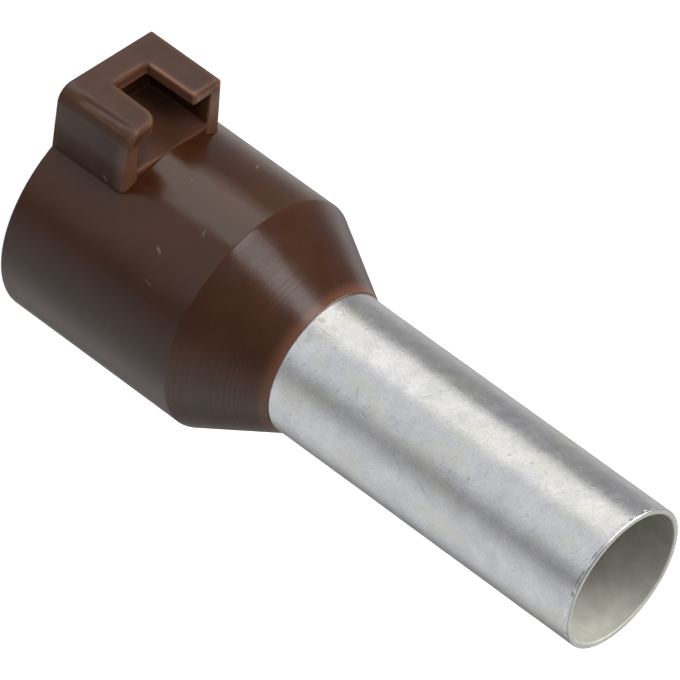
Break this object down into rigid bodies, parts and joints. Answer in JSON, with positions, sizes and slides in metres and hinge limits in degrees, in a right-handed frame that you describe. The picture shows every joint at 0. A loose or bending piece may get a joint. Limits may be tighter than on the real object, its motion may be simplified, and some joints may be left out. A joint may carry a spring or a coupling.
{
  "type": "wire ferrule",
  "caption": "Insulated wire ferrule: a thin straight metal barrel held in a brown plastic collar with a conical nose, and a slotted holder on the collar for a marker.",
  "frame": {"origin": "centre of the collar's rear face, where the wire enters", "axes": "+Z along the wire towards the barrel's open tip, -Y from the axis towards the marker holder"},
  "size_m": [0.008, 0.0097, 0.0217],
  "materials": {
    "collar_plastic": "dark brown moulded plastic with a soft gloss, a little translucent at its thin edges",
    "barrel_metal": "tin-plated copper, satin, with fine draw lines and small scuffs"
  },
  "bodies": {
    "root": {"collar": "collar_plastic", "barrel": "barrel_metal"}
  },
  "joints": []
}
